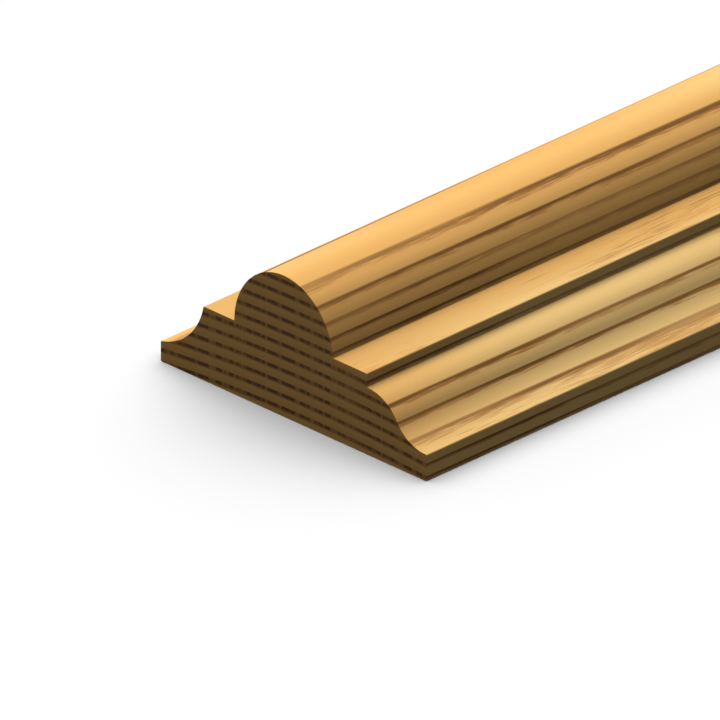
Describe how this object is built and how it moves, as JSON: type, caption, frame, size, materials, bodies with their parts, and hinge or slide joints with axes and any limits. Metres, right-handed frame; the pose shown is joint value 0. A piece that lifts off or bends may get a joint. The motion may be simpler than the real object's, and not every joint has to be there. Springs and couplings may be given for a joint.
{
  "type": "chair rail cap moulding",
  "caption": "Straight stick of wooden chair rail cap moulding with a flat back, a raised bead between flats, a cove along one edge and an ogee along the other.",
  "frame": {"origin": "middle of the flat back, halfway along the stick", "axes": "+X along the stick, +Y across it towards the coved edge, +Z out of the flat back towards the bead"},
  "size_m": [2.438, 0.0636, 0.0267],
  "materials": {
    "wood": "satin"
  },
  "bodies": {
    "root": {"chair_rail_cap": "wood"}
  },
  "joints": []
}
